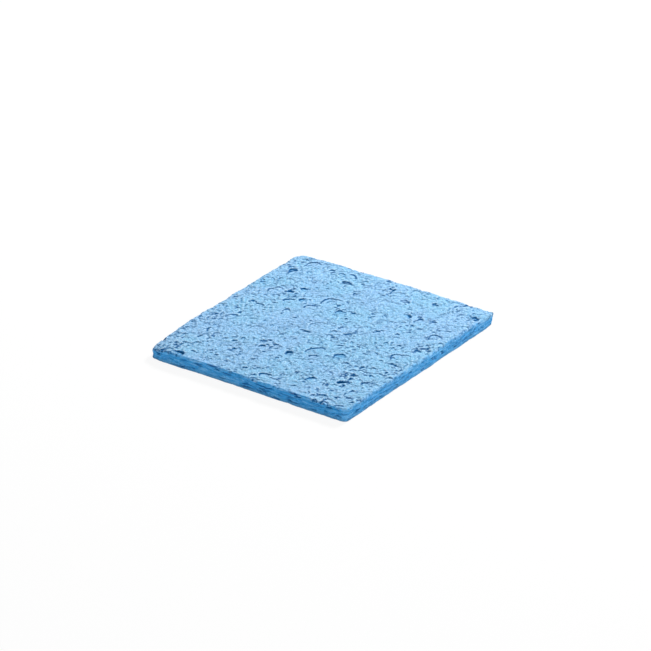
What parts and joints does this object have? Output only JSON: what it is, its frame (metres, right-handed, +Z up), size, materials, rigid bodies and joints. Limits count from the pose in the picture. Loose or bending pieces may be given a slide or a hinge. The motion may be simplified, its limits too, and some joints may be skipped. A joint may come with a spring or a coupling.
{
  "type": "soldering tip cleaning sponge",
  "caption": "Thin flat square sheet of porous cellulose sponge with open pores on its faces, for wiping a hot soldering tip.",
  "frame": {"origin": "centre of the underside, on the surface that the sheet rests on", "axes": "+Z up through the thickness, +Y along the longer side, with the front edge on -Y"},
  "size_m": [0.0605, 0.0655, 0.0036],
  "materials": {
    "sponge_blue": "matt, porous"
  },
  "bodies": {
    "root": {"sponge": "sponge_blue"}
  },
  "joints": []
}
